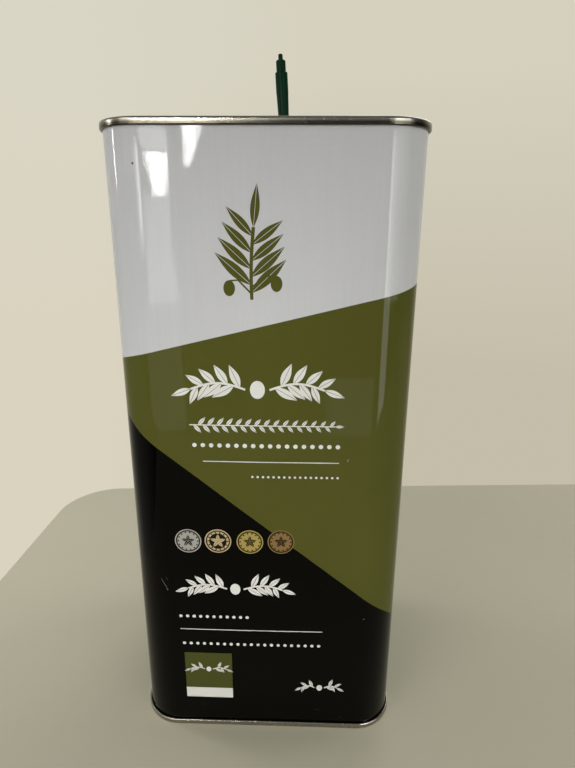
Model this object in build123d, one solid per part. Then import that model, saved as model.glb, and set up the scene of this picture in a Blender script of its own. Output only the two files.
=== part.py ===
from build123d import *
import os

# A five litre olive oil tin with a flip-up pouring spout on its screw cap.
# Lengths are millimetres. The origin is the middle of the base, Z is up, and the printed front faces -Y.

# The tin as a whole
tin_height = 320.0
body_width = 143.0
body_depth = 118.0
corner_radius = 20.0
plate = 0.30

# The double seams that join each end to the body, five layers of plate thick
seam_gap = 0.12
seam_height = 3.4
hook_end_gap = 0.5
crest_flat_depth = 0.05
compound_clearance = 0.02
compound_skirt = 0.5

# The pressed form of each end, from the seam inwards
panel_depth = 5.5
groove_width = 2.4
groove_depth = 0.6
groove_slope = 0.5
groove_bend = 0.45
corner_bend = 0.7
shelf_width = 7.0
bead_height = 0.6
bead_slope = 1.0
bead_bend = 1.0

# The welded lap down the left side of the body
lap_width = 1.2
lap_height = 0.18
lap_margin = 0.4

# The hole in the top end, its edge turned down into a collar
hole_radius = 17.8
collar_depth = 1.9
collar_bend = 0.5
collar_land = 1.0

# The neck, pressed into the hole and held by a snap bead
plug_clearance = 0.05
plug_wall = 1.35
plug_tail = 0.8
snap_height = 0.45
snap_gap = 0.1
snap_slope = 0.5
snap_land = 0.4
gasket_thickness = 0.6
gasket_margin = 0.5
flange_thickness = 1.2
flange_chamfer = 0.3
spigot_step = 0.65
spigot_height = 6.8
spigot_chamfer = 0.4
thread_pitch = 2.4
thread_height = 1.1
thread_root_width = 1.15
thread_crest_width = 0.6
thread_clearance = 0.3
thread_bury = 0.3
thread_foot = 0.65
thread_head = 0.1
neck_thread_lead = 33.0

# The tamper ring that stays on the neck when the cap is first turned
ring_clearance = 0.3
ring_height = 1.9
ring_lip = 0.9
retainer_height = 0.8
retainer_slope = 0.4
ring_to_cap = 0.25

# The screw cap
cap_wall = 2.2
cap_plate = 1.5
cap_rounding = 0.8
cap_thread_head = 0.9
cap_thread_lead = 160.0
liner_thickness = 0.8
liner_width = 3.6
liner_clearance = 0.4
grip_count = 60
grip_radius = 0.45
grip_margin = 1.3

# The spout's hinge on the cap
pivot_offset = 7.0
pivot_rise = 1.8
barrel_radius = 3.0
barrel_length = 7.2
pin_radius = 1.3
pin_inset = 0.3
hinge_clearance = 0.05
barrel_end_clearance = 0.1
cheek_radius = 2.4
cheek_thickness = 1.6
boss_depth = 1.5
boss_front = 9.0
boss_back = 4.6
boss_rounding = 2.0

# The spout: stem, head, shoulder and nub, one after another from its pivot
spout_lean = 3.5
spout_folded = 84.0
stem_base_radius = 2.55
stem_top_radius = 3.0
stem_length = 14.5
head_radius = 3.05
head_length = 9.25
shoulder_radius = 2.35
shoulder_length = 5.2
nub_radius = 1.1
nub_length = 2.65
spout_chamfer = 0.5
nub_chamfer = 0.3
channel_radius = 1.3
nozzle_radius = 0.6
nozzle_length = 4.0
rib_height = 0.15
rib_width = 0.5
rib_angle = 26.0
groove_clearance = 0.3

# One overrun serves every cut
overrun = 1.0

quarter_turn = 90.0
half_turn = 180.0
full_turn = 360.0

# Places across a seam, measured outwards from the face of the body to the middle of each layer
layer = plate + seam_gap
body_wall_out = -plate / 2
chuck_wall_out = body_wall_out - layer
cover_hook_out = body_wall_out + layer
body_hook_out = cover_hook_out + layer
seaming_wall_out = body_hook_out + layer

# Heights in a seam and its end, measured up from the crest
crest_bend_up = -(2 * layer + plate / 2)
hook_turn_up = -(seam_height - plate / 2 - layer)
hook_room = layer - plate / 2
cover_hook_end_up = crest_bend_up + hook_room - hook_end_gap
body_hook_end_up = hook_turn_up - hook_room + hook_end_gap
panel_up = -(panel_depth + plate / 2)
shelf_up = panel_up - bead_height
groove_up = shelf_up - groove_depth

# Heights of the closure
panel_top = tin_height - panel_depth
flange_base = panel_top + gasket_thickness
flange_top = flange_base + flange_thickness
ring_top = flange_top + ring_height
skirt_base = ring_top + ring_to_cap
neck_top = flange_top + spigot_height
cap_underside = neck_top + liner_thickness
deck = cap_underside + cap_plate
pivot_height = deck + pivot_rise

# Radii of the closure
plug_radius = hole_radius - plug_clearance
bore_radius = plug_radius - plug_wall
spigot_radius = plug_radius + spigot_step
skirt_radius = spigot_radius + thread_height + thread_clearance
cap_radius = skirt_radius + cap_wall
liner_radius = spigot_radius + thread_clearance - liner_clearance

# Where each thread starts and ends, to the middle of its ridge, half a pitch apart
neck_thread_start = skirt_base + thread_foot + thread_root_width / 2
neck_thread_end = neck_top - thread_head - thread_root_width / 2
thread_phase_share = (cap_thread_lead - neck_thread_lead - half_turn) / full_turn
cap_thread_start = neck_thread_start + thread_pitch * thread_phase_share
cap_thread_end = cap_underside - cap_thread_head - thread_root_width / 2

# The hinge and the spout
pivot = (pivot_offset, 0, pivot_height)
cheek_gap = barrel_length + 2 * barrel_end_clearance
cheek_span = cheek_gap + 2 * cheek_thickness
pin_span = cheek_span - 2 * pin_inset
head_end = stem_length + head_length
shoulder_end = head_end + shoulder_length
spout_length = shoulder_end + nub_length


def joined(pieces):
    """Fuse overlapping or touching pieces into one solid."""
    return pieces[0].fuse(*pieces[1:]).clean()


def around_body(profile):
    """Carry a profile, drawn outwards from the body's face and upwards, once around the rounded rectangle."""
    half_spans = (body_width / 2 - corner_radius, body_depth / 2 - corner_radius)
    pieces = []
    for turn in range(4):
        out = Vector(1, 0, 0).rotate(Axis.Z, turn * quarter_turn)
        along = out.rotate(Axis.Z, quarter_turn)
        ahead, beside = half_spans[turn % 2], half_spans[1 - turn % 2]
        face_middle = out * (ahead + corner_radius)
        wall = Plane(origin=face_middle, x_dir=out, z_dir=-along) * profile
        pieces.append(extrude(wall, amount=beside, both=True))
        corner = out * ahead + along * beside
        edge = Plane(origin=corner + out * corner_radius, x_dir=out, z_dir=-along) * profile
        pieces.append(revolve(edge, axis=Axis(corner, (0, 0, 1)), revolution_arc=quarter_turn))
    return pieces


def turned(points):
    """Spin an outline of radius and height about the closure's axis."""
    outline = Plane.XZ * make_face(Polyline(*points, close=True))
    return revolve(outline, axis=Axis.Z, revolution_arc=full_turn)


def upright(radius, base, top, x=0):
    """A round bar from one height to another."""
    return Pos(x, 0, base) * Cylinder(radius, top - base, align=(Align.CENTER, Align.CENTER, Align.MIN))


def block(x_from, x_to, depth, base, top):
    """A block across the closure, centred on the hinge's middle line."""
    middle = Pos((x_from + x_to) / 2, 0, base)
    return middle * Box(x_to - x_from, depth, top - base, align=(Align.CENTER, Align.CENTER, Align.MIN))


def end_profile():
    """The section of an end: recessed panel, groove, chuck wall, crest and cover hook."""
    groove_out = chuck_wall_out - groove_width
    shelf_out = groove_out - groove_slope
    bead_out = shelf_out - shelf_width
    dish = FilletPolyline(
        (-corner_radius, panel_up),
        (bead_out - bead_slope, panel_up),
        (bead_out, shelf_up),
        (shelf_out, shelf_up),
        (groove_out, groove_up),
        (chuck_wall_out, groove_up),
        (chuck_wall_out, crest_bend_up),
        radius=[bead_bend, bead_bend, groove_bend, groove_bend, corner_bend],
    )
    crest = CenterArc((cover_hook_out, crest_bend_up), 2 * layer, half_turn, -half_turn)
    seaming_wall = Line((seaming_wall_out, crest_bend_up), (seaming_wall_out, hook_turn_up))
    turn = CenterArc((body_hook_out, hook_turn_up), layer, 0, -half_turn)
    hook = Line((cover_hook_out, hook_turn_up), (cover_hook_out, cover_hook_end_up))
    return trace([dish, crest, seaming_wall, turn, hook], line_width=plate)


def end_plate():
    """An end with its crest at height zero: the profile around the edge and the flat panel between."""
    span = Box(body_width - 2 * corner_radius, body_depth - 2 * corner_radius, plate)
    return joined(around_body(end_profile()) + [Pos(0, 0, panel_up) * span])


def top_end():
    """The top end, with the neck's hole and its turned-down collar."""
    land_radius = hole_radius + plate + collar_bend + collar_land
    collar_line = FilletPolyline(
        (land_radius, panel_up),
        (hole_radius + plate / 2, panel_up),
        (hole_radius + plate / 2, -panel_depth - collar_depth),
        radius=collar_bend,
    )
    collar = revolve(Plane.XZ * trace(collar_line, line_width=plate), axis=Axis.Z, revolution_arc=full_turn)
    opening = upright(land_radius, panel_up - overrun, panel_up + overrun)
    return Pos(0, 0, tin_height) * joined([end_plate() - opening, collar])


def bottom_end():
    """The bottom end, upside down, its crest pressed flat where the tin stands on it."""
    end = Pos(0, 0, -crest_flat_depth) * mirror(end_plate(), about=Plane.XY)
    return split(end, bisect_by=Plane.XY, keep=Keep.TOP)


def tin_body():
    """The rolled body, hooked outwards at both ends, with its welded lap."""
    top = tin_height + crest_bend_up
    base = -crest_flat_depth - crest_bend_up
    hook_length = crest_bend_up - body_hook_end_up
    top_hook = Line((body_hook_out, top - hook_length), (body_hook_out, top))
    top_turn = CenterArc((cover_hook_out, top), layer, 0, half_turn)
    wall = Line((body_wall_out, top), (body_wall_out, base))
    base_turn = CenterArc((cover_hook_out, base), layer, half_turn, half_turn)
    base_hook = Line((body_hook_out, base), (body_hook_out, base + hook_length))
    profile = trace([top_hook, top_turn, wall, base_turn, base_hook], line_width=plate)
    lap_base = seam_height + lap_margin
    lap_top = tin_height - seam_height - lap_margin
    lap_middle = Pos(-(body_width + lap_height - plate) / 2, 0, (lap_base + lap_top) / 2)
    lap = lap_middle * Box(lap_height + plate, lap_width, lap_top - lap_base)
    return joined(around_body(profile) + [lap])


def seam_compound():
    """The sealing compound over the body's hook, with the seam's crest at height zero."""
    middle = plate / 2 + seam_gap / 2
    reach = layer + middle
    skirt_up = crest_bend_up - compound_skirt
    inner = Line((cover_hook_out - reach, skirt_up), (cover_hook_out - reach, crest_bend_up))
    over = CenterArc((cover_hook_out, crest_bend_up), reach, half_turn, -half_turn)
    outer = Line((cover_hook_out + reach, crest_bend_up), (cover_hook_out + reach, skirt_up))
    profile = trace([inner, over, outer], line_width=seam_gap - 2 * compound_clearance)
    return joined(around_body(profile))


def top_seam_compound():
    return Pos(0, 0, tin_height) * seam_compound()


def bottom_seam_compound():
    return Pos(0, 0, -crest_flat_depth) * mirror(seam_compound(), about=Plane.XY)


def thread_ridge(radius, direction, start, end, lead):
    """A helical ridge on a round wall, pointing outwards (1) or inwards (-1)."""
    path = Helix(thread_pitch, end - start, radius)
    outline = Polyline(
        (-direction * thread_bury, -thread_root_width / 2),
        (0, -thread_root_width / 2),
        (direction * thread_height, -thread_crest_width / 2),
        (direction * thread_height, thread_crest_width / 2),
        (0, thread_root_width / 2),
        (-direction * thread_bury, thread_root_width / 2),
        close=True,
    )
    section = Plane(origin=path @ 0, x_dir=(1, 0, 0), z_dir=path % 0) * make_face(outline)
    ridge = sweep(section, path=path, is_frenet=True)
    return Pos(0, 0, start) * Rot(0, 0, lead) * ridge


def screw_neck():
    """The neck: plug and snap bead below the panel, flange on the gasket, threaded spigot above."""
    collar_end = panel_top - collar_depth
    snap_top = collar_end - snap_gap
    snap_radius = plug_radius + snap_height
    snap_base = snap_top - snap_slope - snap_land
    plug_end = snap_base - plug_tail
    retainer_radius = spigot_radius + retainer_height
    retainer_base = flange_top + ring_lip + ring_clearance
    shape = turned([
        (bore_radius, plug_end),
        (plug_radius - snap_height, plug_end),
        (snap_radius, snap_base),
        (snap_radius, snap_top - snap_slope),
        (plug_radius, snap_top),
        (plug_radius, flange_base),
        (cap_radius - flange_chamfer, flange_base),
        (cap_radius, flange_base + flange_chamfer),
        (cap_radius, flange_top),
        (spigot_radius, flange_top),
        (spigot_radius, retainer_base),
        (retainer_radius, retainer_base),
        (spigot_radius, retainer_base + retainer_slope),
        (spigot_radius, neck_top - spigot_chamfer),
        (spigot_radius - spigot_chamfer, neck_top),
        (bore_radius, neck_top),
    ])
    ridge = thread_ridge(spigot_radius, 1, neck_thread_start, neck_thread_end, neck_thread_lead)
    return joined([shape, ridge])


def neck_gasket():
    """The flat ring between the panel and the neck's flange."""
    inner = hole_radius + plate + collar_bend
    outer = cap_radius - gasket_margin
    return upright(outer, panel_top, flange_base) - upright(inner, panel_top - overrun, flange_base + overrun)


def tamper_ring():
    """The band left under the cap, its lip held by the neck's retainer."""
    lip_radius = spigot_radius + ring_clearance
    return turned([
        (lip_radius, flange_top),
        (cap_radius, flange_top),
        (cap_radius, ring_top),
        (skirt_radius, ring_top),
        (skirt_radius, flange_top + ring_lip),
        (lip_radius, flange_top + ring_lip),
    ])


def cap_liner():
    """The sealing ring between the neck's lip and the cap."""
    inner = liner_radius - liner_width
    return upright(liner_radius, neck_top, cap_underside) - upright(inner, neck_top - overrun, deck)


def cap_shell():
    """The cap's plate and skirt, before its grips, thread and hinge."""
    rim = deck - cap_rounding
    corner = cap_radius - cap_rounding
    outline = [
        Line((0, cap_underside), (skirt_radius, cap_underside)),
        Line((skirt_radius, cap_underside), (skirt_radius, skirt_base)),
        Line((skirt_radius, skirt_base), (cap_radius, skirt_base)),
        Line((cap_radius, skirt_base), (cap_radius, rim)),
        CenterArc((corner, rim), cap_rounding, 0, quarter_turn),
        Line((corner, deck), (0, deck)),
        Line((0, deck), (0, cap_underside)),
    ]
    return revolve(Plane.XZ * make_face(outline), axis=Axis.Z, revolution_arc=full_turn)


def grip_grooves():
    """Shallow upright grooves around the skirt, for the fingers."""
    groove = upright(grip_radius, skirt_base - overrun, deck - grip_margin, x=cap_radius)
    return [Rot(0, 0, index * full_turn / grip_count) * groove for index in range(grip_count)]


def crossways(radius, length):
    """A round bar along Y through the pivot."""
    return Pos(*pivot) * Rot(quarter_turn, 0, 0) * Cylinder(radius, length)


def hinge_cheeks():
    """The two ears that hold the spout's pins."""
    left = pivot_offset - cheek_radius
    right = pivot_offset + cheek_radius
    foot = block(left, right, cheek_span, cap_underside, pivot_height)
    ears = joined([crossways(cheek_radius, cheek_span), foot])
    reach = cheek_radius + overrun
    between = block(pivot_offset - reach, pivot_offset + reach, cheek_gap, deck, pivot_height + reach)
    return ears - between


def socket_boss():
    """The thicker floor under the hinge, inside the neck."""
    left = pivot_offset - boss_front
    right = pivot_offset + boss_back
    boss = block(left, right, cheek_gap, cap_underside - boss_depth, deck)
    return fillet(boss.edges().filter_by(Axis.Z), boss_rounding)


def folded_path():
    """The room the folded spout needs in the deck."""
    base_radius = stem_base_radius + rib_height + groove_clearance
    top_radius = head_radius + groove_clearance
    stem_room = Cone(base_radius, top_radius, stem_length, align=(Align.CENTER, Align.CENTER, Align.MIN))
    room = joined([stem_room, upright(top_radius, stem_length, spout_length)])
    return Pos(*pivot) * Rot(0, -spout_folded, 0) * room


def screw_cap():
    """The cap with grips, thread, hinge ears, barrel socket, pin holes, drain and folding groove."""
    ridge = thread_ridge(skirt_radius, -1, cap_thread_start, cap_thread_end, cap_thread_lead)
    cap = joined([cap_shell() - grip_grooves(), socket_boss(), hinge_cheeks(), ridge])
    cap -= crossways(barrel_radius + hinge_clearance, cheek_gap)
    cap -= crossways(pin_radius + hinge_clearance, cheek_span + overrun)
    cap -= upright(channel_radius, cap_underside - boss_depth - overrun, pivot_height, x=pivot_offset)
    return cap - folded_path()


def spout_outline():
    """The spout's turned shape, from its pivot to the tip of its nub."""
    return turned([
        (0, 0),
        (stem_base_radius, 0),
        (stem_top_radius, stem_length),
        (head_radius, stem_length),
        (head_radius, head_end - spout_chamfer),
        (head_radius - spout_chamfer, head_end),
        (shoulder_radius, head_end),
        (shoulder_radius, shoulder_end - spout_chamfer),
        (shoulder_radius - spout_chamfer, shoulder_end),
        (nub_radius, shoulder_end),
        (nub_radius, spout_length - nub_chamfer),
        (nub_radius - nub_chamfer, spout_length),
        (0, spout_length),
    ])


def stem_ribs():
    """Two fine ribs up the front of the stem and two up the back, tapered with it."""
    fin = Polyline(
        (0, 0),
        (stem_base_radius + rib_height, 0),
        (stem_top_radius + rib_height, stem_length),
        (0, stem_length),
        close=True,
    )
    rib = extrude(Plane.XZ * make_face(fin), rib_width / 2, both=True)
    turns = [face + side for face in (-quarter_turn, quarter_turn) for side in (-rib_angle, rib_angle)]
    return [Rot(0, 0, turn) * rib for turn in turns]


def flip_spout():
    """The spout, standing at the lean it has in use: barrel, pins, stem, head, nub and channel."""
    barrel = Rot(quarter_turn, 0, 0) * Cylinder(barrel_radius, barrel_length)
    pins = Rot(quarter_turn, 0, 0) * Cylinder(pin_radius, pin_span)
    shape = joined([spout_outline(), barrel, pins] + stem_ribs())
    channel = upright(channel_radius, -barrel_radius - overrun, spout_length - nozzle_length)
    nozzle = upright(nozzle_radius, 0, spout_length + overrun)
    shape = shape - channel - nozzle
    return Pos(*pivot) * Rot(0, -spout_lean, 0) * shape


os.makedirs("parts", exist_ok=True)

nodes = {
    "tin_body": tin_body,
    "top_end": top_end,
    "bottom_end": bottom_end,
    "top_seam_compound": top_seam_compound,
    "bottom_seam_compound": bottom_seam_compound,
    "screw_neck": screw_neck,
    "neck_gasket": neck_gasket,
    "tamper_ring": tamper_ring,
    "screw_cap": screw_cap,
    "cap_liner": cap_liner,
    "flip_spout": flip_spout,
}

for name, make in nodes.items():
    export_step(make(), os.path.join("parts", name + ".step"))
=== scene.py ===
import math
import bmesh
import bpy
from mathutils import Matrix, Vector


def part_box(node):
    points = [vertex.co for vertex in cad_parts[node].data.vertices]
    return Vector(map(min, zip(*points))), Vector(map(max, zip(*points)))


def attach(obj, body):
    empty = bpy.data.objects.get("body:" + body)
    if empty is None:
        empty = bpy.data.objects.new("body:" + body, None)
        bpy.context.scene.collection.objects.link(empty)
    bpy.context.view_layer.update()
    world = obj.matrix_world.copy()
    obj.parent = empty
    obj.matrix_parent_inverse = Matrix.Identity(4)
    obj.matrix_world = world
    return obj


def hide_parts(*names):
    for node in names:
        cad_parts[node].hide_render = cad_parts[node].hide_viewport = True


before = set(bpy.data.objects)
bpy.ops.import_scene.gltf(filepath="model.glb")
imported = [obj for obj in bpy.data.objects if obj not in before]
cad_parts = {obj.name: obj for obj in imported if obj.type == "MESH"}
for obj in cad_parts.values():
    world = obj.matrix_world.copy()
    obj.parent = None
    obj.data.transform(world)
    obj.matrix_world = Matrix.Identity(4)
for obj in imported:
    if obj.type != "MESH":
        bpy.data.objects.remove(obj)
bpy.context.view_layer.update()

# Sizes of the tin that its outline follows. A seam's layer is the plate and the gap beside it.
plate = 0.0003
layer = 0.00042
corner_radius = 0.020
seam_height = 0.0034
crest_bend = 2 * layer + plate / 2
crest_flat = 0.00005
hook_length = 0.0016

body_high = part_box("tin_body")[1]
tin_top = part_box("top_end")[1].z
half_width = body_high.x - 2 * layer
half_depth = body_high.y - 2 * layer
front_half = half_width - corner_radius
side_half = half_depth - corner_radius
quarter_arc = corner_radius * math.pi / 2
round_length = 4 * (front_half + side_half + quarter_arc)
left_panel, front_panel, right_panel, back_panel = "left", "front", "right", "back"

# The sheet's slight unevenness: a belly on each panel, and dents and creases on the front
front_belly = 0.00035
side_belly = 0.00030
calm_near_seam = 0.005
# Each dent: across the front, height, half width, half height and depth
front_dents = [
    (-0.0430, 0.3150, 0.0065, 0.0035, 0.00010),
    (-0.0480, 0.2480, 0.0020, 0.0050, 0.00005),
    (-0.0400, 0.2690, 0.0016, 0.0024, -0.00003),
    (0.0200, 0.1200, 0.0150, 0.0300, 0.00012),
    (-0.0250, 0.0600, 0.0180, 0.0220, -0.00010),
    (0.0380, 0.0300, 0.0060, 0.0080, 0.00014),
]

# How finely the body's wall is divided, and how sharp a bend still looks smooth
wall_step = 0.003
front_step = 0.6 * wall_step
side_step = 2 * wall_step
inner_level_skip = 4
corner_steps = 16
bend_steps = 6
flat_end = 0.0003
smooth_angle = math.radians(40)
# The section's points that are nearer than this to the wall's outer face move with it
wall_reach = 1.01 * plate

# The welded lap down the left side
lap_half_width = 0.0006
lap_height = 0.00018
lap_margin = 0.0045

# The print: two slanting edges between three colours, as heights at the front's middle and slopes
white_edge = 0.2341
white_slope = 0.2456
black_edge = 0.1307
black_slope = -0.814
edge_blur = 0.00008
edge_wobble = 0.00012
scuff_heights = (0.004, 0.030)
scuff_strength = 0.08
front_margin = 0.001
# Each nick in the front's print: across, height, half length, half width, turn in degrees and colour
nicks = [
    (-0.0538, 0.0952, 0.0038, 0.00018, -64, (0.13, 0.125, 0.11)),
    (-0.0524, 0.0985, 0.0016, 0.00012, -62, (0.05, 0.048, 0.04)),
    (-0.0524, 0.0917, 0.0004, 0.00030, 0, (0.16, 0.155, 0.14)),
    (-0.0542, 0.3022, 0.0005, 0.00050, 0, (0.03, 0.03, 0.025)),
    (0.0529, 0.0755, 0.0005, 0.00035, 0, (0.08, 0.10, 0.12)),
    (0.0407, 0.1685, 0.0009, 0.00022, 70, (0.30, 0.29, 0.24)),
]
nick_fade = (0.7, 1.1)

# The ornaments' film of ink, the films in ink on ink, and how finely the bands of ink are divided
ink_film = 0.00004
over_films = 2
top_films = 3
leaf_steps = 10
oval_steps = 16
oval_end_share = 0.15
ring_steps = 48
twig_steps = 24

# Leaves and twigs
stroke_tip = 0.00004
midrib = 0.00010
leaf_fullness = 0.85
leaf_spread = math.radians(48)
leaf_shrink_share = 0.3
first_pair_share = 0.7
last_gap_share = 0.5
stagger_share = 0.25
look_ahead_share = 0.01
tip_look_share = 0.03
tip_length_share = 0.8
tip_width_share = 0.75

# The upright branch: its centre, and from there its foot, its two fruits and their stalks
branch_centre = (-0.003, 0.2690)
branch_foot = (-0.002, -0.023)
branch_lean = math.radians(88)
branch_length = 0.031
branch_bend = 0.0006
branch_pairs = 4
branch_leaf = (0.022, 0.0054)
branch_line = 0.0015
fruit_reach = (0.0026, 0.0035)
fruits = [(0.0090, -0.0160), (-0.0120, -0.0180)]
stalk_line = 0.0008
stalks = [
    [(-0.0025, -0.0180), (0.0040, -0.0126), (0.0090, -0.0128)],
    [(-0.0025, -0.0200), (-0.0080, -0.0144), (-0.0120, -0.0148)],
]

# The garlands, their parts as shares of the leaf's width
garland_fruit_share = 0.8
garland_start_share = 1.3
garland_bend_share = 0.7
# Each garland: centre, reach to each side, leaf length and width, line width and pairs of leaves
main_garland = ((-0.003, 0.204), 0.0315, (0.0125, 0.0044), 0.0010, 4)
low_garland = ((-0.016, 0.093), 0.0250, (0.0095, 0.0034), 0.0009, 4)
corner_garland = ((0.030, 0.028), 0.0100, (0.0056, 0.0020), 0.0006, 2)

# The twig below the main garland: left end, turn, length, bend, pairs, leaf size and line width
long_twig = ((-0.036, 0.186), 0, 0.070, 0, 15, (0.0054, 0.0019), 0.0005)
# Each row of dots: left end, right end, height, radius and spacing
wide_dots = (-0.0340, 0.0356, 0.1755, 0.0011, 0.0041)
small_dots = (-0.0060, 0.0360, 0.1590, 0.0006, 0.0026)
short_dots = (-0.0460, -0.0100, 0.0750, 0.0009, 0.0036)
long_dots = (-0.0450, 0.0290, 0.0570, 0.0009, 0.0037)
# Each line: left end, right end, height and width
upper_line = (-0.0302, 0.0364, 0.1670, 0.00045)
lower_line = (-0.0467, 0.0307, 0.0665, 0.00045)

# The medals, their parts as shares of the medal or of its inner field
medal_radius = 0.0069
medal_ring_share = 0.86
medal_line_share = 0.10
medal_field_share = 0.66
medal_dots = 14
dot_place_share = 0.73
dot_radius_share = 0.06
dark_star_share = 0.8
cream_star_share = 0.9
star_points = 5
star_width_share = 0.45
medal_places = [
    (-0.0398, 0.1218, "silver"),
    (-0.0243, 0.1221, "cream"),
    (-0.0078, 0.1220, "gold"),
    (0.0082, 0.1223, "bronze"),
]

# The label, green above and pale below, with a garland on its green part
label_left, label_right = -0.0453, -0.0190
label_base, label_split, label_top = 0.0194, 0.0262, 0.0506
label_garland_rise = 0.001
label_garland = (0.0100, (0.0050, 0.0017), 0.0005, 2)

# Colours, as linear red, green and blue
white_ink = (0.508, 0.508, 0.505)
olive_ink = (0.0745, 0.0755, 0.0145)
black_ink = (0.0006, 0.0006, 0.0003)
pale_ink = (0.66, 0.65, 0.60)
tin_metal = (0.63, 0.60, 0.53)
dull_tin = (0.44, 0.42, 0.36)
bright_tin = (0.55, 0.53, 0.47)
# The dark colour of the painted shade on the rims
rim_shade = (0.04, 0.034, 0.022)
table_top = (0.475, 0.450, 0.335)

# The print's three inks: how uneven each is, and the white's faint rolled lines
white_blotch = 0.03
olive_blotch = 0.05
black_blotch = 0.18
rolled_shade = (0.988, 1.012)

# The ornaments' inks: colour, unevenness and how metallic
ornament_inks = {
    "olive": (olive_ink, 0.03, 0.0),
    "pale": (pale_ink, 0.03, 0.0),
    "dark": ((0.010, 0.008, 0.005), 0.03, 0.0),
    "label_green": ((0.060, 0.066, 0.014), 0.03, 0.0),
    "silver": ((0.51, 0.50, 0.48), 0.06, 0.6),
    "bronze": ((0.33, 0.21, 0.085), 0.06, 0.6),
    "gold": ((0.54, 0.42, 0.13), 0.06, 0.6),
    "cream": ((0.58, 0.45, 0.26), 0.06, 0.3),
}

# The plastics and rubber: colour, roughness, unevenness and specular level
mouldings = {
    "green_moulding": ((0.0008, 0.025, 0.0085), 0.34, 0.10, 0.045),
    "natural_moulding": ((0.62, 0.62, 0.58), 0.42, 0.03, 0.5),
    "liner_foam": ((0.70, 0.70, 0.67), 0.60, 0.04, 0.5),
    "dark_rubber": ((0.018, 0.018, 0.017), 0.62, 0.15, 0.5),
}

# Noises over a surface: scale, detail, stretch along each axis and distortion
rolled_grain = (500, 0, (1, 1, 0.06))
orange_peel = (430, 1)
fine_speckle = (1300, 0)
patchy_wear = (45, 4, (1, 1, 0.5))
edge_wander = (500, 2)
rolled_lines = (700, 3, (1, 1, 0.03))
scuff_marks = (75, 5, (1, 1, 4), 0.6)
tin_streaks = (60, 4, (1, 1, 22))
tin_tarnish = (38, 5, (1, 1, 1), 0.4)
handling_marks = (420, 3)
flow_marks = (160, 3, (1, 1, 0.35))
mould_pores = (2600, 2)

# The parts of a noise's range that a look uses
noise_centre = 0.5
noise_middle = (0.3, 0.7)
wear_band = (0.35, 0.75)
scuff_band = (0.70, 0.76)
tarnish_band = (0.34, 0.66)
mark_band = (0.58, 0.72)

# Blotches, and the mottle that is so many times finer
blotch_stretch = (1, 1, 0.6)
blotch_detail = 3
mottle_ratio = 22
mottle_detail = 2
blotch_share = 0.7
mottle_share = 0.3
ink_blotch_scale = 30
moulding_blotch_scale = 90
table_blotch_scale = 6
table_blotch = 0.02

# The lacquer: its roughness, and the height and make-up of its relief
lacquer_rough = (0.02, 0.04)
metallic_rough = 0.25
lacquer_gloss = 0.10
lacquer_relief = 0.000011
lacquer_strength = 0.9
grain_share = 0.30
peel_share = 0.55
speckle_share = 0.25

# The bare tinplate, with painted shade on its two rims
tin_rough = (0.28, 0.20)
mark_rough = 0.06
tin_relief = 0.00001
tin_strength = 0.4
streak_share = 0.5
tarnish_share = 0.5
hem_blur = 0.0002
# Painted shade on the rims: where it fades above the top seam's hem, its strength there, and its strength
# on the bottom seam
seam_shade_low, seam_shade_high = 0.0012, 0.0024
top_shade_shares = (0.96, 0.40)
base_shade_share = 0.35

# The moulded plastic and the table's top
rough_dip = 0.06
rough_rise = 0.08
plastic_ior = 1.49
moulding_relief = 0.00003
moulding_strength = 0.5
pore_share = 0.4
table_rough = 0.75
table_gloss = 0.2

# The table: its edges, its rounded back corner and its thickness
table_left, table_right = -0.226, 2.26
table_near = -0.500
table_back_left, table_back_right = 0.220, 0.360
table_corner = 0.050
table_corner_steps = 12
table_thickness = 0.030

# The wall behind the tin and the room before it, as colours and where one turns into the next
wall_low_left, wall_low_right = (0.700, 0.650, 0.520), (0.550, 0.511, 0.398)
wall_high_left, wall_high_right = (0.700, 0.670, 0.560), (0.665, 0.632, 0.518)
ceiling_low, ceiling_high = (0.045, 0.043, 0.039), (0.26, 0.25, 0.22)
room_left = (0.36, 0.34, 0.30)
even_light = (0.42, 0.42, 0.42)
wall_turn = (-0.35, 0.05)
wall_rise = (-0.25, 0.25)
ceiling_rise = (0.3, 0.9)
room_turn = (-0.80, -0.42)
wall_ahead = (0.1, 0.7)

# Soft lamps that face the tin's middle: place, width and height alike, radiance, and if reflections show it
lamp_colour = (1.0, 0.995, 0.98)
tin_middle = (0.0, 0.0, 0.17)
soft_lamps = {
    "key": ((-0.95, -1.15, 0.80), 0.80, 2.5, True),
    "fill": ((1.15, -1.10, 0.75), 0.80, 1.6, True),
    "back": ((0.60, 1.40, 1.30), 0.90, 2.2, True),
    "left": ((-1.30, 0.35, 0.70), 0.70, 2.6, False),
    "right": ((1.30, 0.35, 0.70), 0.70, 3.2, False),
}

# The room's windows and pale walls before the tin, all as far in front of it as pane_depth.
# Each: left and right of its top, the same of its base, top and base heights, and radiance.
pane_depth = -1.25
slanted_rows = 7
windows = {
    "left_head": (-0.395, -0.339, -0.395, -0.339, 0.562, 0.484, 20),
    "left_pane": (-0.393, -0.333, -0.377, -0.344, 0.478, 0.362, 80),
    "left_frame": (-0.600, -0.490, -0.600, -0.490, 0.500, 0.270, 32),
    "left_sill": (-0.402, -0.338, -0.402, -0.338, 0.365, 0.085, 10),
    "left_wall": (-0.720, -0.420, -0.720, -0.420, 0.490, 0.220, 10),
    "left_low": (-0.720, -0.338, -0.720, -0.338, 0.085, -0.300, 1.6),
    "middle_pane": (-0.298, -0.234, -0.290, -0.282, 0.560, 0.436, 100),
    "right_near": (0.530, 0.690, 0.530, 0.690, 0.530, 0.090, 20),
    "right_low": (0.530, 1.000, 0.530, 1.000, 0.090, -0.300, 7),
    "right_dim": (0.115, 0.240, 0.115, 0.240, -0.130, -0.420, 1.3),
    "right_far": (0.690, 1.000, 0.690, 1.000, 0.530, 0.090, 7.5),
}
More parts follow.
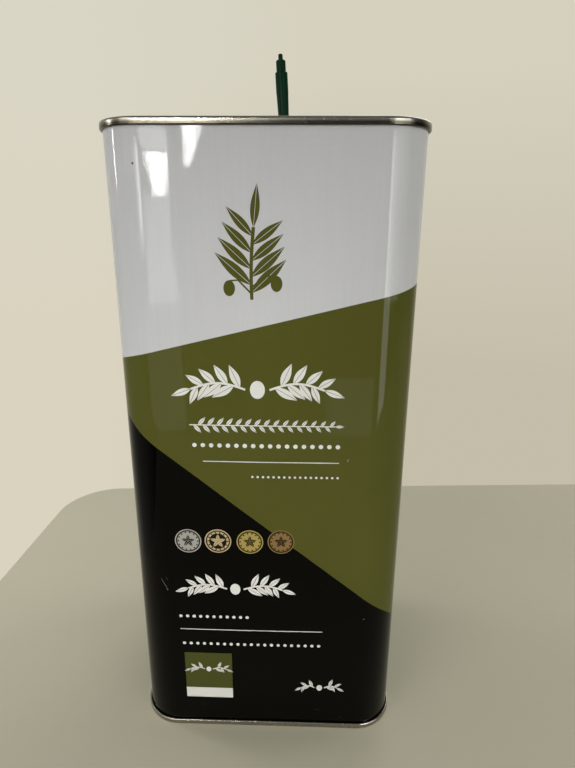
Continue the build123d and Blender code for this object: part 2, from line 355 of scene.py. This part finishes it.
# The windows at the sides: place, what each faces, width, height and radiance
side_windows = {
    "right_wall": ((0.91, -0.90, 0.31), (0, 0, 0.31), 0.60, 0.440, 3.5),
    "left_side": ((-1.30, -0.13, 0.463), (0, 0, 0.463), 0.036, 0.166, 130),
}

# Spots that even out the light: place, what it faces, watts, cone in degrees and lamp radius
spots = {
    "low": ((-0.08, -1.07, 0.30), (-0.01, -0.06, 0.114), 22.5, 26.6, 0.15),
    "middle": ((-0.10, -1.10, 0.36), (-0.012, -0.06, 0.240), 4.6, 8.4, 0.03),
    "table_left": ((-0.80, 0.25, 0.80), (-0.24, 0.09, 0), 9.0, 32.0, 0.10),
}

# The photograph's viewpoint, with the lens and the film's width in millimetres
camera_place = (0.01715, -0.28893, 0.27583)
camera_pitch = math.radians(16.655)
camera_yaw = math.radians(-1.512)
camera_roll = math.radians(0.328)
lens_length = 24.125
film_width = 36.0
nearest_seen = 0.01


# Node trees. A Mix node has its share, its two colours and their mixture at these sockets.
mix_share, mix_first, mix_second, mixture = 0, 6, 7, 2


class Tree:
    """A material's or world's nodes, with short calls for the kinds used here."""

    def __init__(self, owner):
        owner.use_nodes = True
        self.tree = owner.node_tree
        self.tree.nodes.clear()

    def add(self, kind, inputs=None, **settings):
        """A node, its settings, and its inputs as values or as sockets to link."""
        node = self.tree.nodes.new("ShaderNode" + kind)
        for name, value in settings.items():
            setattr(node, name, value)
        for name, value in (inputs or {}).items():
            socket = node.inputs[name]
            if isinstance(value, bpy.types.NodeSocket):
                self.tree.links.new(value, socket)
            elif socket.type == "RGBA":
                socket.default_value = (*value, 1)
            else:
                socket.default_value = value
        return node

    def math(self, operation, *values):
        inputs = {index: value for index, value in enumerate(values)}
        return self.add("Math", inputs, operation=operation).outputs[0]

    def total(self, *parts):
        """The sum of several values, each times its share."""
        whole = 0.0
        for value, share in parts:
            whole = self.math("ADD", whole, self.math("MULTIPLY", value, share))
        return whole

    def between(self, value, low, high, out_low=0.0, out_high=1.0):
        """The value, brought from one range to another and kept inside it."""
        ranges = {"From Min": low, "From Max": high, "To Min": out_low, "To Max": out_high}
        return self.add("MapRange", {"Value": value, **ranges}).outputs["Result"]

    def mix(self, share, first, second):
        """One colour where the share is 0 and another where it is 1."""
        inputs = {mix_share: share, mix_first: first, mix_second: second}
        return self.add("Mix", inputs, data_type="RGBA").outputs[mixture]

    def shade(self, colour, level):
        """A colour, darker or lighter by a factor."""
        return self.add("VectorMath", {0: colour, 1: level}, operation="MULTIPLY").outputs[0]

    def axes(self):
        """The object's own coordinates: across, back and up."""
        place = self.add("TexCoord").outputs["Object"]
        return self.add("SeparateXYZ", {0: place}).outputs[:3]

    def noise(self, scale, detail, stretch=(1, 1, 1), distortion=0.0):
        """Noise over the object, stretched by a factor along each axis."""
        place = self.add("TexCoord").outputs["Object"]
        mapped = self.add("Mapping", {"Vector": place, "Scale": stretch}).outputs[0]
        inputs = {"Vector": mapped, "Scale": scale, "Detail": detail, "Distortion": distortion}
        return self.add("TexNoise", inputs).outputs["Fac"]

    def bump(self, height, distance, strength):
        inputs = {"Height": height, "Distance": distance, "Strength": strength}
        return self.add("Bump", inputs).outputs[0]

    def finish(self, shader, output="OutputMaterial"):
        surface = self.add(output).inputs["Surface"]
        self.tree.links.new(shader.outputs[0], surface)


def new_material(name):
    material = bpy.data.materials.new(name)
    return material, Tree(material)


# Materials
def varnish(tree, colour, metal=0.0):
    """The clear lacquer over a print or a metallic ink, with a fine rolled grain."""
    worn = tree.between(tree.noise(*patchy_wear), *wear_band, *lacquer_rough)
    roughness = tree.math("ADD", worn, tree.math("MULTIPLY", metal, metallic_rough))
    relief = tree.total(
        (tree.noise(*rolled_grain), grain_share),
        (tree.noise(*orange_peel), peel_share),
        (tree.noise(*fine_speckle), speckle_share),
    )
    shader = tree.add("BsdfPrincipled", {
        "Base Color": colour,
        "Metallic": metal,
        "Roughness": roughness,
        "Specular IOR Level": lacquer_gloss,
        "Normal": tree.bump(relief, lacquer_relief, lacquer_strength),
    })
    tree.finish(shader)


def blotched(tree, colour, amount, scale=ink_blotch_scale):
    """A colour made uneven by soft blotches and a fine mottle."""
    level = tree.total(
        (tree.noise(scale, blotch_detail, blotch_stretch), blotch_share),
        (tree.noise(scale * mottle_ratio, mottle_detail), mottle_share),
    )
    return tree.shade(colour, tree.between(level, *noise_middle, 1 - amount, 1 + amount))


def three_inks(tree, across, height):
    """White above olive above black, with slightly wavering edges between them."""
    wander = tree.math("SUBTRACT", tree.noise(*edge_wander), noise_centre)
    level = tree.math("ADD", height, tree.math("MULTIPLY", wander, edge_wobble))

    def above(edge, slope):
        line = tree.math("ADD", tree.math("MULTIPLY", across, slope), edge)
        return tree.between(tree.math("SUBTRACT", level, line), -edge_blur, edge_blur)

    rolled = tree.between(tree.noise(*rolled_lines), *noise_middle, *rolled_shade)
    white = tree.shade(blotched(tree, white_ink, white_blotch), rolled)
    olive = blotched(tree, olive_ink, olive_blotch)
    black = blotched(tree, black_ink, black_blotch)
    lower = tree.mix(above(black_edge, black_slope), black, olive)
    return tree.mix(above(white_edge, white_slope), lower, white)


def scuffed(tree, colour, height):
    """Pale scuffs that fade out a little way above the base."""
    marks = tree.between(tree.noise(*scuff_marks), *scuff_band)
    low_down = tree.between(height, *scuff_heights, 1.0, 0.0)
    amount = tree.math("MULTIPLY", tree.math("MULTIPLY", marks, low_down), scuff_strength)
    return tree.mix(amount, colour, pale_ink)


def nicked(tree, colour, place):
    """The nicks and specks in the front's print."""
    front_only = tree.between(tree.axes()[1], -front_margin, front_margin, 1.0, 0.0)
    for across, height, half_long, half_wide, turn, mark in nicks:
        spot = tree.add("Mapping", {
            "Vector": place,
            "Location": (across, height, 0),
            "Rotation": (0, 0, math.radians(turn)),
            "Scale": (half_long, half_wide, 1),
        }, vector_type="TEXTURE").outputs[0]
        reach = tree.add("VectorMath", {0: spot}, operation="LENGTH").outputs["Value"]
        inside = tree.math("MULTIPLY", tree.between(reach, *nick_fade, 1.0, 0.0), front_only)
        colour = tree.mix(inside, colour, mark)
    return colour


def print_material():
    """White, olive and black inks on tinplate, bare along the welded lap."""
    material, tree = new_material("printed_tin")
    place = tree.add("Attribute", attribute_name="print_place").outputs["Vector"]
    across, height, from_lap = tree.add("SeparateXYZ", {0: place}).outputs[:3]
    inked = scuffed(tree, three_inks(tree, across, height), height)
    bare = tree.between(from_lap, lap_margin, lap_margin + edge_blur, 1.0, 0.0)
    varnish(tree, tree.mix(bare, nicked(tree, inked, place), tin_metal), bare)
    return material


def ink_material(name, ink, amount, metal):
    material, tree = new_material(name)
    varnish(tree, blotched(tree, ink, amount), metal)
    return material


def rim_painted_shade(tree):
    """How much painted shade darkens the rims: most under the top one's edge, where its underside is in
    shadow, and a little on the bottom one.
    """
    height = tree.axes()[2]
    hem = tin_top - seam_height
    on_seam = tree.between(height, hem - hem_blur, hem)
    # Painted shade: strongest along the top seam's lower edge, where the seam's underside is in shadow, and
    # weaker higher up
    under_hem_shade = tree.between(height, hem + seam_shade_low, hem + seam_shade_high, *top_shade_shares)
    # Painted shade on the bottom seam, which dims its highlight
    bottom_seam_shade = tree.between(height, seam_height, seam_height + hem_blur, base_shade_share, 0.0)
    return tree.math("ADD", tree.math("MULTIPLY", under_hem_shade, on_seam), bottom_seam_shade)


def tinplate_material():
    """Bare tinplate, rolled and a little tarnished, with fine streaks and handling marks."""
    material, tree = new_material("bare_tin")
    streaks = tree.noise(*tin_streaks)
    tarnish = tree.noise(*tin_tarnish)
    marks = tree.between(tree.noise(*handling_marks), *mark_band)
    level = tree.total((streaks, streak_share), (tarnish, tarnish_share))
    rolled = tree.mix(tree.between(level, *tarnish_band), dull_tin, bright_tin)
    worn = tree.between(level, *noise_middle, *tin_rough)
    shader = tree.add("BsdfPrincipled", {
        # The rims' colour is darkened by painted shade
        "Base Color": tree.mix(rim_painted_shade(tree), rolled, rim_shade),
        "Metallic": 1.0,
        "Roughness": tree.math("ADD", worn, tree.math("MULTIPLY", marks, mark_rough)),
        "Normal": tree.bump(tree.math("ADD", streaks, marks), tin_relief, tin_strength),
    })
    tree.finish(shader)
    return material


def moulded_material(name, tint, rough, amount, gloss):
    """A moulded plastic: faint flow marks, a fine matt texture and slightly uneven colour."""
    material, tree = new_material(name)
    flow = tree.noise(*flow_marks)
    relief = tree.math("ADD", flow, tree.math("MULTIPLY", tree.noise(*mould_pores), pore_share))
    shader = tree.add("BsdfPrincipled", {
        "Base Color": blotched(tree, tint, amount, moulding_blotch_scale),
        "Roughness": tree.between(flow, *noise_middle, rough - rough_dip, rough + rough_rise),
        "IOR": plastic_ior,
        "Specular IOR Level": gloss,
        "Normal": tree.bump(relief, moulding_relief, moulding_strength),
    })
    tree.finish(shader)
    return material


def table_material():
    material, tree = new_material("pale_table")
    shader = tree.add("BsdfPrincipled", {
        "Base Color": blotched(tree, table_top, table_blotch, table_blotch_scale),
        "Roughness": table_rough,
        "Specular IOR Level": table_gloss,
    })
    tree.finish(shader)
    return material


# Meshes
def soften(mesh):
    """Shade a mesh smooth, except at its sharp bends."""
    for face in mesh.polygons:
        face.use_smooth = True
    mesh.set_sharp_from_angle(angle=smooth_angle)


def place_in_scene(name, mesh):
    """A new object of the mesh, in the scene."""
    piece = bpy.data.objects.new(name, mesh)
    bpy.context.scene.collection.objects.link(piece)
    return piece


# The body's wall
def smooth(value):
    """A soft step from 0 to 1."""
    value = min(1.0, max(0.0, value))
    return value * value * (3 - 2 * value)


def panel_shape(across, half_span, height, belly):
    """How far a panel stands out from flat: most in its middle, nothing at its corners and ends."""
    if abs(across) >= half_span:
        return 0.0
    middle = math.cos(math.pi / 2 * across / half_span) ** 2
    return belly * middle * math.sin(math.pi * height / tin_top)


def front_shape(across, height):
    """The front's belly with its dents."""
    out = panel_shape(across, front_half, height, front_belly)
    for dent_across, dent_height, wide, high, depth in front_dents:
        spread = ((across - dent_across) / wide) ** 2 + ((height - dent_height) / high) ** 2
        out -= depth * math.exp(-spread / 2)
    edge = min(height - seam_height, tin_top - seam_height - height)
    return out * smooth(edge / calm_near_seam)


def divided(start, end, step):
    """Evenly spaced numbers from one to just short of the other."""
    count = max(1, round(abs(end - start) / step))
    return [start + (end - start) * index / count for index in range(count)]


def panels():
    """Each panel, its way out, way along, distance from the tin's middle, half width and places across."""
    side_places = divided(-side_half, side_half, side_step)
    lap_edges = [lap_half_width, lap_half_width + lap_height]
    lap_places = [0.0] + lap_edges + [-edge for edge in lap_edges]
    left_places = sorted(set(side_places + lap_places))
    back_places = divided(-front_half, front_half, side_step)
    front_ends = [flat_end - front_half, front_half - flat_end]
    front_places = sorted(divided(-front_half, front_half, front_step) + front_ends)
    left, front = Vector((-1, 0, 0)), Vector((0, -1, 0))
    return [
        (left_panel, left, front, half_width, side_half, left_places),
        (front_panel, front, -left, half_depth, front_half, front_places),
        (right_panel, -left, -front, half_width, side_half, side_places),
        (back_panel, -front, left, half_depth, front_half, back_places),
    ]


def stations():
    """Places once around the body: point, way out, distance from the lap, panel and place across it."""
    places = []
    distance = -side_half
    for panel, out, along, reach, half_span, spots in panels():
        for spot in spots:
            places.append((out * reach + along * spot, out, distance + half_span + spot, panel, spot))
        distance += 2 * half_span
        centre = out * (reach - corner_radius) + along * half_span
        for step in range(corner_steps):
            turn = math.pi / 2 * step / corner_steps
            way = out * math.cos(turn) + along * math.sin(turn)
            places.append((centre + way * corner_radius, way, distance + corner_radius * turn, None, 0.0))
        distance += quarter_arc
    return places


def wall_shape(panel, across, height):
    """How far the wall stands out at a place on one panel, or on a corner, which is no panel."""
    if panel is None:
        return 0.0
    if panel == front_panel:
        return front_shape(across, height)
    if panel == back_panel:
        return panel_shape(across, front_half, height, front_belly)
    out = panel_shape(across, side_half, height, side_belly)
    inside_seams = seam_height < height < tin_top - seam_height
    if panel == left_panel and inside_seams and abs(across) <= lap_half_width:
        out += lap_height
    return out


def arc(centre_out, centre_up, radius, start, end):
    """Points of a bend in the body's section, as places outwards and upwards."""
    points = []
    for step in range(bend_steps + 1):
        turn = math.radians(start + (end - start) * step / bend_steps)
        points.append((centre_out + radius * math.cos(turn), centre_up + radius * math.sin(turn)))
    return points


def body_section():
    """The body's closed section, each point outwards and upwards and whether it is printed."""
    top = tin_top - crest_bend
    base = crest_bend - crest_flat
    middle = layer - plate / 2
    outer, inner = layer + plate / 2, layer - plate / 2
    levels = [base] + divided(seam_height, tin_top - seam_height, wall_step)
    levels += [tin_top - seam_height, top]
    hook_top = arc(middle, top, inner, 180, 0)[1:] + [(middle + inner, top - hook_length)]
    hook_top += [(middle + outer, top - hook_length)] + arc(middle, top, outer, 0, 180)
    inner_wall = [(-plate, level) for level in reversed(levels[1:-1:inner_level_skip])]
    hook_base = arc(middle, base, outer, 180, 360) + [(middle + outer, base + hook_length)]
    hook_base += [(middle + inner, base + hook_length)] + arc(middle, base, inner, 360, 180)[:-1]
    section = [(0.0, level, True) for level in levels]
    return section + [(out, up, False) for out, up in hook_top + inner_wall + hook_base]


def wall_points(places, section):
    """The wall's points, and where each is in the print: across, height and distance from the lap."""
    points, marks = [], []
    for point, way, distance, panel, across in places:
        distance %= round_length
        print_across = round_length / 4 - abs(distance - round_length / 2)
        from_lap = min(distance, round_length - distance)
        for out, up, _ in section:
            if abs(out) < wall_reach:
                out += wall_shape(panel, across, up)
            points.append((point.x + way.x * out, point.y + way.y * out, up))
            marks.append((print_across, up, from_lap))
    return points, marks


def wall_faces(rows, columns):
    """A face between each point and the next, around the body and around its section."""
    faces = []
    for row in range(rows):
        following = (row + 1) % rows
        for column in range(columns):
            beside = (column + 1) % columns
            faces.append((
                row * columns + column,
                following * columns + column,
                following * columns + beside,
                row * columns + beside,
            ))
    return faces


def body_wall():
    """The printed body as one closed skin, with its hooks, belly, dents and lap."""
    places = stations()
    section = body_section()
    columns = len(section)
    points, marks = wall_points(places, section)
    mesh = bpy.data.meshes.new("tin_wall")
    mesh.from_pydata(points, [], wall_faces(len(places), columns))
    mesh.materials.append(printed_tin)
    mesh.materials.append(bare_tin)
    for index, face in enumerate(mesh.polygons):
        printed_here = section[index % columns][2]
        printed_beside = section[(index + 1) % columns][2]
        face.material_index = 0 if printed_here and printed_beside else 1
    attribute = mesh.attributes.new("print_place", "FLOAT_VECTOR", "POINT")
    for item, mark in zip(attribute.data, marks):
        item.vector = mark
    soften(mesh)
    wall = place_in_scene("tin_wall", mesh)
    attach(wall, "tin")
    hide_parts("tin_body")


# The ornaments are bands, each a list of left and right points, and whether it closes on itself
def heading(turn):
    """The way that an angle points to."""
    return Vector((math.cos(turn), math.sin(turn)))


def leaf(base, turn, length, width):
    """A slender leaf from its stalk to its tip, in two halves with a bare midrib."""
    along = heading(turn)
    beside = Vector((-along.y, along.x))
    halves = []
    for side in (1, -1):
        strip = []
        for step in range(leaf_steps + 1):
            share = step / leaf_steps
            half = width / 2 * math.sin(math.pi * share ** leaf_fullness)
            middle = Vector(base) + along * length * share
            outer = middle + beside * side * max(half, stroke_tip + midrib)
            strip.append((middle + beside * side * midrib, outer))
        halves.append((strip, False))
    return halves


def stroke(points, width):
    """A line of even width through its points."""
    strip = []
    last = len(points) - 1
    for index, point in enumerate(points):
        ahead = Vector(points[min(index + 1, last)]) - Vector(points[max(index - 1, 0)])
        beside = Vector((-ahead.y, ahead.x)).normalized() * width / 2
        strip.append((Vector(point) + beside, Vector(point) - beside))
    return [(strip, False)]


def oval(centre, reach_across, reach_up):
    """A filled oval or disc."""
    strip = []
    for step in range(oval_steps + 1):
        turn = math.pi * (step + oval_end_share) / (oval_steps + 2 * oval_end_share)
        reach = Vector((reach_across * math.sin(turn), 0))
        middle = Vector(centre) + Vector((0, reach_up * math.cos(turn)))
        strip.append((middle - reach, middle + reach))
    return [(strip, False)]


def ring(centre, radius, width):
    """A circle of even width."""
    strip = []
    for step in range(ring_steps):
        way = heading(2 * math.pi * step / ring_steps)
        inner = Vector(centre) + way * (radius - width / 2)
        outer = Vector(centre) + way * (radius + width / 2)
        strip.append((inner, outer))
    return [(strip, True)]


def sprig(base, turn, length, bend, pairs, leaf_size, line):
    """A bending twig with its leaves in pairs and one at its tip."""
    along = heading(turn)
    beside = Vector((-along.y, along.x))
    leaf_length, leaf_width = leaf_size
    gaps = pairs + last_gap_share

    def at(share):
        return Vector(base) + along * length * share + beside * bend * math.sin(math.pi * share)

    def heading_at(before, after):
        ahead = at(after) - at(before)
        return math.atan2(ahead.y, ahead.x)

    shapes = stroke([at(step / twig_steps) for step in range(twig_steps + 1)], line)
    for pair in range(pairs):
        share = (pair + first_pair_share) / gaps
        facing = heading_at(share - look_ahead_share, share + look_ahead_share)
        size = 1 - leaf_shrink_share * share
        for side in (1, -1):
            foot = at(share + side * stagger_share / gaps)
            shapes += leaf(foot, facing + side * leaf_spread, leaf_length * size, leaf_width * size)
    facing = heading_at(1 - tip_look_share, 1)
    return shapes + leaf(at(1), facing, leaf_length * tip_length_share, leaf_width * tip_width_share)


def garland(centre, reach, leaf_size, line, pairs):
    """Two branches that grow apart from a fruit in the middle."""
    across, height = centre
    leaf_width = leaf_size[1]
    start = leaf_width * garland_start_share
    bend = leaf_width * garland_bend_share
    shapes = oval(centre, leaf_width * garland_fruit_share, leaf_width)
    for side, turn in ((1, 0), (-1, math.pi)):
        foot = (across + side * start, height)
        shapes += sprig(foot, turn, reach - start, side * bend, pairs, leaf_size, line)
    return shapes


def upright_branch():
    """A branch with two fruits on their stalks."""

    def from_centre(across, up):
        return (branch_centre[0] + across, branch_centre[1] + up)

    foot = from_centre(*branch_foot)
    shapes = sprig(foot, branch_lean, branch_length, branch_bend, branch_pairs, branch_leaf, branch_line)
    for fruit in fruits:
        shapes += oval(from_centre(*fruit), *fruit_reach)
    for stalk in stalks:
        shapes += stroke([from_centre(*point) for point in stalk], stalk_line)
    return shapes


def dotted_row(start, end, height, radius, pitch):
    """Dots in a row, as near to the spacing as its ends allow."""
    count = round((end - start) / pitch)
    shapes = []
    for index in range(count + 1):
        shapes += oval((start + (end - start) * index / count, height), radius, radius)
    return shapes


def rule(start, end, height, width):
    """A level line."""
    steps = math.ceil((end - start) / wall_step)
    return stroke([(start + (end - start) * step / steps, height) for step in range(steps + 1)], width)


def star(centre, radius):
    """A star of leaves, one of them upright."""
    shapes = []
    for point in range(star_points):
        turn = math.pi / 2 + 2 * math.pi * point / star_points
        shapes += leaf(centre, turn, radius, radius * star_width_share)
    return shapes


# The ornaments as pieces that follow the wall
def on_front(across, height, lift):
    return (across, -half_depth - front_shape(across, height) - lift, height)


def on_back(across, height, lift):
    return (across, half_depth + panel_shape(across, front_half, height, front_belly) + lift, height)


def band_points(strip, columns, lay, films):
    """A band's points on top of its ink, and then as many below it, just inside the wall."""
    points = []
    for lift in (films * ink_film, -ink_film / 2):
        for left, right in strip:
            for column in range(columns + 1):
                point = left.lerp(right, column / columns)
                points.append(lay(point.x, point.y, lift))
    return points


def band_faces(first, rows, columns, closed):
    """A band's faces: its top, its underside, and its edges all round."""
    under = rows * (columns + 1)

    def corner(row, column):
        return first + (row % rows) * (columns + 1) + column

    faces = []
    edges = []
    for row in range(rows if closed else rows - 1):
        for column in range(columns):
            near = [corner(row, column), corner(row, column + 1)]
            far = [corner(row + 1, column + 1), corner(row + 1, column)]
            faces.append(near + far)
            faces.append([index + under for index in near + far])
        edges += [(corner(row, column), corner(row + 1, column)) for column in (0, columns)]
    if not closed:
        for column in range(columns):
            edges += [(corner(row, column), corner(row, column + 1)) for row in (0, rows - 1)]
    return faces + [[start, end, end + under, start + under] for start, end in edges]


def printed(name, material, shapes, lay=on_front, films=1):
    """Ink laid on the wall as closed bands, so many films thick."""
    points, faces = [], []
    for strip, closed in shapes:
        widest = max((right - left).length for left, right in strip)
        columns = max(1, math.ceil(widest / wall_step))
        faces += band_faces(len(points), len(strip), columns, closed)
        points += band_points(strip, columns, lay, films)
    mesh = bpy.data.meshes.new(name)
    mesh.from_pydata(points, [], faces)
    shape = bmesh.new()
    shape.from_mesh(mesh)
    bmesh.ops.recalc_face_normals(shape, faces=shape.faces)
    shape.to_mesh(mesh)
    shape.free()
    soften(mesh)
    mesh.materials.append(material)
    piece = place_in_scene(name, mesh)
    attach(piece, "tin")


def medals():
    """Four plain coins in a row: each has a rim, a ring of dots and a star."""
    field = medal_radius * medal_field_share
    dot_radius = medal_radius * dot_radius_share
    for number, (across, height, metal) in enumerate(medal_places, 1):
        centre = (across, height)
        printed(f"medal_{number}", inks[metal], oval(centre, medal_radius, medal_radius))
        marks = ring(centre, medal_radius * medal_ring_share, medal_radius * medal_line_share)
        if metal == "cream":
            marks += oval(centre, field, field)
            pale_star = star(centre, field * cream_star_share)
            printed(f"medal_star_{number}", inks[metal], pale_star, films=top_films)
        else:
            marks += star(centre, field * dark_star_share)
        for dot in range(medal_dots):
            way = heading(2 * math.pi * dot / medal_dots)
            place = Vector(centre) + way * medal_radius * dot_place_share
            marks += oval(place, dot_radius, dot_radius)
        printed(f"medal_marks_{number}", inks["dark"], marks, films=over_films)


def label():
    """A small label in two colours with a garland on its upper part."""

    def field(base, top):
        levels = divided(base, top, wall_step) + [top]
        strip = [(Vector((label_left, level)), Vector((label_right, level))) for level in levels]
        return [(strip, False)]

    printed("label", inks["label_green"], field(label_split, label_top))
    printed("label_strip", inks["pale"], field(label_base, label_split))
    middle = ((label_left + label_right) / 2, (label_split + label_top) / 2 + label_garland_rise)
    printed("label_sprig", inks["pale"], garland(middle, *label_garland), films=over_films)


def ornaments():
    """The front's generic print, with its branch and main garland repeated on the back."""
    branch = upright_branch()
    printed("front_sprig", inks["olive"], branch)
    printed("back_sprig", inks["olive"], branch, on_back)
    main = garland(*main_garland)
    printed("back_garland", inks["pale"], main, on_back)
    rows = sprig(*long_twig) + dotted_row(*wide_dots) + rule(*upper_line) + dotted_row(*small_dots)
    printed("front_garland", inks["pale"], main + rows)
    low = garland(*low_garland) + rule(*lower_line) + dotted_row(*short_dots) + dotted_row(*long_dots)
    printed("low_garland", inks["pale"], low + garland(*corner_garland))
    medals()
    label()


# The looks of the pieces
def dress(node, material):
    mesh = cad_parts[node].data
    mesh.materials.clear()
    mesh.materials.append(material)


printed_tin = print_material()
bare_tin = tinplate_material()
plastics = {name: moulded_material(name, *look) for name, look in mouldings.items()}
inks = {name: ink_material(f"{name}_ink", *look) for name, look in ornament_inks.items()}

body_wall()
ornaments()
finishes = {
    "tin_body": printed_tin,
    "top_end": bare_tin,
    "bottom_end": bare_tin,
    "top_seam_compound": plastics["dark_rubber"],
    "bottom_seam_compound": plastics["dark_rubber"],
    "neck_gasket": plastics["dark_rubber"],
    "screw_neck": plastics["natural_moulding"],
    "cap_liner": plastics["liner_foam"],
    "tamper_ring": plastics["green_moulding"],
    "screw_cap": plastics["green_moulding"],
    "flip_spout": plastics["green_moulding"],
}
for node, material in finishes.items():
    dress(node, material)


# Floor, light and camera
def floor():
    """A pale tabletop with the back edge and rounded corner of the one in the photograph."""
    outline = [(table_left, table_near)]
    for step in range(table_corner_steps + 1):
        turn = math.pi - math.pi / 2 * step / table_corner_steps
        across = table_left + table_corner * (1 + math.cos(turn))
        back = table_back_left - table_corner * (1 - math.sin(turn))
        outline.append((across, back))
    outline += [(table_right, table_back_right), (table_right, table_near)]
    shape = bmesh.new()
    top = shape.faces.new([shape.verts.new((x, y, 0)) for x, y in outline])
    extruded = bmesh.ops.extrude_face_region(shape, geom=[top])["geom"]
    lower = [point for point in extruded if isinstance(point, bmesh.types.BMVert)]
    bmesh.ops.translate(shape, verts=lower, vec=(0, 0, -table_thickness))
    bmesh.ops.recalc_face_normals(shape, faces=shape.faces)
    mesh = bpy.data.meshes.new("floor")
    shape.to_mesh(mesh)
    shape.free()
    mesh.materials.append(table_material())
    table = place_in_scene("floor", mesh)


def surroundings():
    """The pale wall behind the tin, and the dim room before it that only reflections show."""
    world = bpy.data.worlds.new("studio")
    bpy.context.scene.world = world
    tree = Tree(world)
    way = tree.add("TexCoord").outputs["Generated"]
    across, ahead, up = tree.add("SeparateXYZ", {0: way}).outputs[:3]
    to_right = tree.between(across, *wall_turn)
    wall_low = tree.mix(to_right, wall_low_left, wall_low_right)
    wall_high = tree.mix(to_right, wall_high_left, wall_high_right)
    wall = tree.mix(tree.between(up, *wall_rise), wall_low, wall_high)
    ceiling = tree.mix(tree.between(up, *ceiling_rise), ceiling_low, ceiling_high)
    room = tree.mix(tree.between(across, *room_turn), room_left, ceiling)
    reflected = tree.mix(tree.between(ahead, *wall_ahead), room, wall)
    path = tree.add("LightPath").outputs
    glossy = tree.math("MAXIMUM", path["Is Glossy Ray"], path["Is Transmission Ray"])
    shown = tree.mix(glossy, even_light, reflected)
    shown = tree.mix(path["Is Camera Ray"], shown, wall)
    background = tree.add("Background", {"Color": shown, "Strength": 1.0})
    tree.finish(background, "OutputWorld")


def aim(lamp, place, target):
    """Put a lamp in its place, facing the target."""
    lamp.location = place
    lamp.rotation_mode = "QUATERNION"
    lamp.rotation_quaternion = (Vector(target) - Vector(place)).to_track_quat("-Z", "Y")
    bpy.context.scene.collection.objects.link(lamp)


def area_light(name, place, target, wide, high, radiance):
    """A rectangular lamp whose face has the radiance."""
    data = bpy.data.lights.new(name, "AREA")
    data.shape = "RECTANGLE"
    data.size, data.size_y = wide, high
    data.energy = radiance * math.pi * wide * high
    data.color = lamp_colour
    light = bpy.data.objects.new(name, data)
    aim(light, place, target)
    return light


def window_panes():
    """The windows and pale walls before the tin, in rows where they slant, seen only as reflections."""
    for name, (top_left, top_right, base_left, base_right, top, base, radiance) in windows.items():
        rows = 1 if top_left == base_left else slanted_rows
        for row in range(rows):
            share = (row + 0.5) / rows
            left = top_left + (base_left - top_left) * share
            right = top_right + (base_right - top_right) * share
            middle = ((left + right) / 2, pane_depth, top + (base - top) * share)
            straight_back = (middle[0], 0, middle[2])
            size = (right - left, (top - base) / rows)
            pane = area_light(f"{name}_{row}", middle, straight_back, *size, radiance)
            pane.visible_diffuse = False


def spot_light(name, place, target, watts, cone, radius):
    """A soft-edged spot that no reflection shows."""
    spot = bpy.data.lights.new(name, "SPOT")
    spot.energy = watts
    spot.spot_size = math.radians(cone)
    spot.spot_blend = 1.0
    spot.shadow_soft_size = radius
    lamp = bpy.data.objects.new(name, spot)
    lamp.visible_glossy = False
    aim(lamp, place, target)


def lamps():
    """Soft lamps that light the tin, what it mirrors, and spots."""
    for name, (place, width, radiance, reflected) in soft_lamps.items():
        area_light(name, place, tin_middle, width, width, radiance).visible_glossy = reflected
    window_panes()
    for name, look in side_windows.items():
        area_light(name, *look).visible_diffuse = False
    for name, look in spots.items():
        spot_light(name, *look)


def photo_camera():
    """The photograph's viewpoint."""
    data = bpy.data.cameras.new("camera")
    data.sensor_width = film_width
    data.lens = lens_length
    data.clip_start = nearest_seen
    level = Vector((math.sin(camera_yaw), math.cos(camera_yaw), 0))
    right = Vector((math.cos(camera_yaw), -math.sin(camera_yaw), 0))
    up = Vector((0, 0, 1))
    ahead = level * math.cos(camera_pitch) - up * math.sin(camera_pitch)
    over = level * math.sin(camera_pitch) + up * math.cos(camera_pitch)
    x_axis = right * math.cos(camera_roll) + over * math.sin(camera_roll)
    y_axis = over * math.cos(camera_roll) - right * math.sin(camera_roll)
    turn = Matrix((x_axis, y_axis, -ahead)).transposed()
    camera = bpy.data.objects.new("camera", data)
    camera.matrix_world = Matrix.Translation(camera_place) @ turn.to_4x4()
    bpy.context.scene.collection.objects.link(camera)
    bpy.context.scene.camera = camera


floor()
surroundings()
lamps()
photo_camera()
bpy.context.scene.view_settings.view_transform = "Standard"
